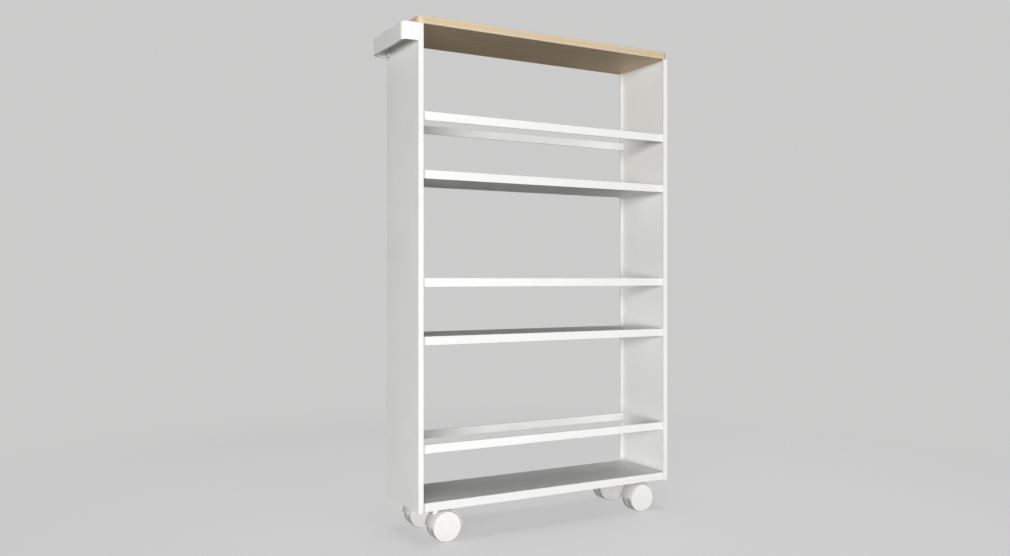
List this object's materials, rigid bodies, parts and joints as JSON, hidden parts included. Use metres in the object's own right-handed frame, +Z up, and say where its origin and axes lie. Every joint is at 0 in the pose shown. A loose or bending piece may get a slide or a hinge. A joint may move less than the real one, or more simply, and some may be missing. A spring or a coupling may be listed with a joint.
{
  "type": "rolling pantry cart",
  "caption": "Slim open shelf cart on hooded swivel casters, with guard rails front and back, a wooden top and a pull handle on one end.",
  "frame": {"origin": "on the floor, under the middle of the whole cart, handle included", "axes": "+X along the width, away from the handle end; +Y from the front to the back; +Z up"},
  "size_m": [0.723, 0.195, 1.1585],
  "materials": {
    "white_painted_board": "satin white paint on board",
    "white_painted_steel": "satin white paint on flat steel bar",
    "bare_wood": "clear matt oil",
    "zinc_steel": "zinc plated",
    "white_filler": "painted over filler",
    "brass": "plain",
    "nylon": "plain",
    "white_plastic": "fine moulded texture",
    "wheel_plastic": "smooth moulded",
    "grey_tread": "soft tread"
  },
  "bodies": {
    "case": {"side_panel_left": "white_painted_board", "side_panel_right": "white_painted_board", "bottom_shelf": "white_painted_board", "middle_shelf": "white_painted_board", "upper_shelf": "white_painted_board", "top_board": "bare_wood", "front_rail_lower": "white_painted_steel", "front_rail_middle": "white_painted_steel", "front_rail_upper": "white_painted_steel", "rear_rail_lower": "white_painted_steel", "rear_rail_middle": "white_painted_steel", "rear_rail_upper": "white_painted_steel", "handle": "white_painted_steel", "handle_screws": "zinc_steel", "shelf_screws_left": "zinc_steel", "shelf_screws_right": "zinc_steel", "screw_plugs_left": "white_filler", "screw_plugs_right": "white_filler", "front_rail_screws": "zinc_steel", "rear_rail_screws": "zinc_steel", "top_pins": "zinc_steel", "insert_nuts": "brass", "stem_front_left": "zinc_steel", "stem_front_right": "zinc_steel", "stem_rear_left": "zinc_steel", "stem_rear_right": "zinc_steel", "washer_front_left": "nylon", "washer_front_right": "nylon", "washer_rear_left": "nylon", "washer_rear_right": "nylon"},
    "hood_front_left": {"hood_front_left": "white_plastic", "axle_front_left": "zinc_steel"},
    "wheel_front_left_a": {"wheel_front_left_a": "wheel_plastic", "tyre_front_left_a": "grey_tread"},
    "wheel_front_left_b": {"wheel_front_left_b": "wheel_plastic", "tyre_front_left_b": "grey_tread"},
    "hood_front_right": {"hood_front_right": "white_plastic", "axle_front_right": "zinc_steel"},
    "wheel_front_right_a": {"wheel_front_right_a": "wheel_plastic", "tyre_front_right_a": "grey_tread"},
    "wheel_front_right_b": {"wheel_front_right_b": "wheel_plastic", "tyre_front_right_b": "grey_tread"},
    "hood_rear_left": {"hood_rear_left": "white_plastic", "axle_rear_left": "zinc_steel"},
    "wheel_rear_left_a": {"wheel_rear_left_a": "wheel_plastic", "tyre_rear_left_a": "grey_tread"},
    "wheel_rear_left_b": {"wheel_rear_left_b": "wheel_plastic", "tyre_rear_left_b": "grey_tread"},
    "hood_rear_right": {"hood_rear_right": "white_plastic", "axle_rear_right": "zinc_steel"},
    "wheel_rear_right_a": {"wheel_rear_right_a": "wheel_plastic", "tyre_rear_right_a": "grey_tread"},
    "wheel_rear_right_b": {"wheel_rear_right_b": "wheel_plastic", "tyre_rear_right_b": "grey_tread"}
  },
  "joints": [
    {"name": "swivel_front_left", "type": "hinge", "parent": "case", "child": "hood_front_left", "pos_m": [-0.2713, -0.0695, 0.06], "axis": [0, 0, 1], "continuous": true},
    {"name": "roll_front_left_a", "type": "hinge", "parent": "hood_front_left", "child": "wheel_front_left_a", "pos_m": [-0.2513, -0.0823, 0.034], "axis": [0, 1, 0], "continuous": true},
    {"name": "roll_front_left_b", "type": "hinge", "parent": "hood_front_left", "child": "wheel_front_left_b", "pos_m": [-0.2513, -0.0567, 0.034], "axis": [0, 1, 0], "continuous": true},
    {"name": "swivel_front_right", "type": "hinge", "parent": "case", "child": "hood_front_right", "pos_m": [0.3083, -0.0695, 0.06], "axis": [0, 0, 1], "continuous": true},
    {"name": "roll_front_right_a", "type": "hinge", "parent": "hood_front_right", "child": "wheel_front_right_a", "pos_m": [0.2883, -0.0823, 0.034], "axis": [0, 1, 0], "continuous": true},
    {"name": "roll_front_right_b", "type": "hinge", "parent": "hood_front_right", "child": "wheel_front_right_b", "pos_m": [0.2883, -0.0567, 0.034], "axis": [0, 1, 0], "continuous": true},
    {"name": "swivel_rear_left", "type": "hinge", "parent": "case", "child": "hood_rear_left", "pos_m": [-0.2713, 0.0605, 0.06], "axis": [0, 0, 1], "continuous": true},
    {"name": "roll_rear_left_a", "type": "hinge", "parent": "hood_rear_left", "child": "wheel_rear_left_a", "pos_m": [-0.2513, 0.0477, 0.034], "axis": [0, 1, 0], "continuous": true},
    {"name": "roll_rear_left_b", "type": "hinge", "parent": "hood_rear_left", "child": "wheel_rear_left_b", "pos_m": [-0.2513, 0.0733, 0.034], "axis": [0, 1, 0], "continuous": true},
    {"name": "swivel_rear_right", "type": "hinge", "parent": "case", "child": "hood_rear_right", "pos_m": [0.3083, 0.0605, 0.06], "axis": [0, 0, 1], "continuous": true},
    {"name": "roll_rear_right_a", "type": "hinge", "parent": "hood_rear_right", "child": "wheel_rear_right_a", "pos_m": [0.2883, 0.0477, 0.034], "axis": [0, 1, 0], "continuous": true},
    {"name": "roll_rear_right_b", "type": "hinge", "parent": "hood_rear_right", "child": "wheel_rear_right_b", "pos_m": [0.2883, 0.0733, 0.034], "axis": [0, 1, 0], "continuous": true}
  ]
}
